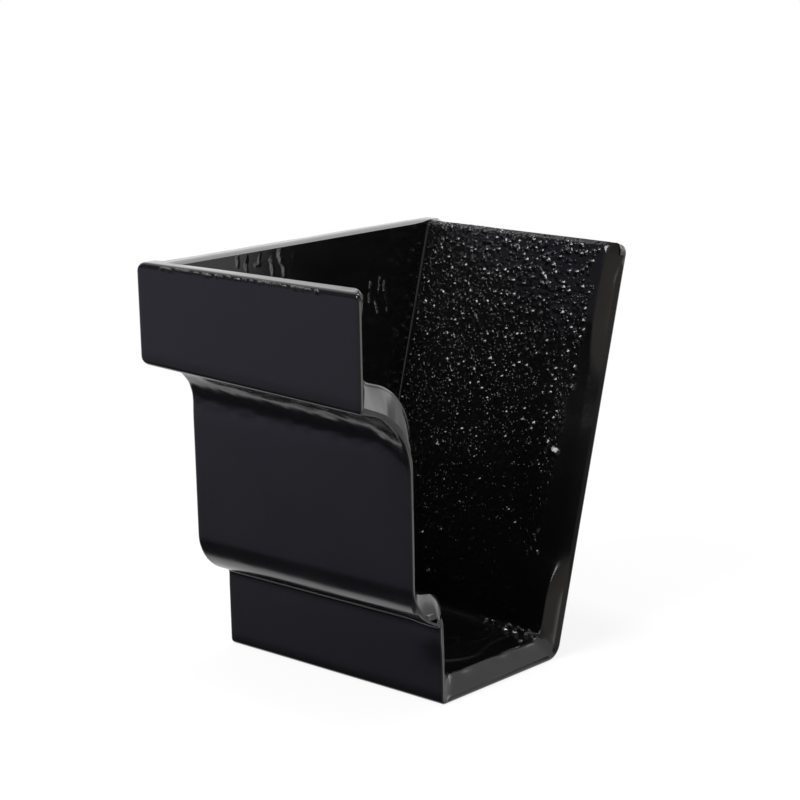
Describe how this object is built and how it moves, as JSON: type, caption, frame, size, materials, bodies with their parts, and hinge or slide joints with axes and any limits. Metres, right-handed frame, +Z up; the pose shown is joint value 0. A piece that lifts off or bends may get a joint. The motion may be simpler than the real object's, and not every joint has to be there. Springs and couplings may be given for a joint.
{
  "type": "gutter stop end",
  "caption": "Cast-iron stop end for a moulded gutter: a closed end plate, a stepped and coved front, a flat sole and a leaning back, painted black.",
  "frame": {"origin": "middle of the overall box, on the underside of the flat sole", "axes": "+X out of the open mouth, towards the gutter it closes; -Y out of the moulded front; +Z up, out of the open top"},
  "size_m": [0.07, 0.0994, 0.1],
  "materials": {
    "black_iron": "cast iron with gloss black paint, pebbled inside the back"
  },
  "bodies": {
    "root": {"stop_end": "black_iron"}
  },
  "joints": []
}
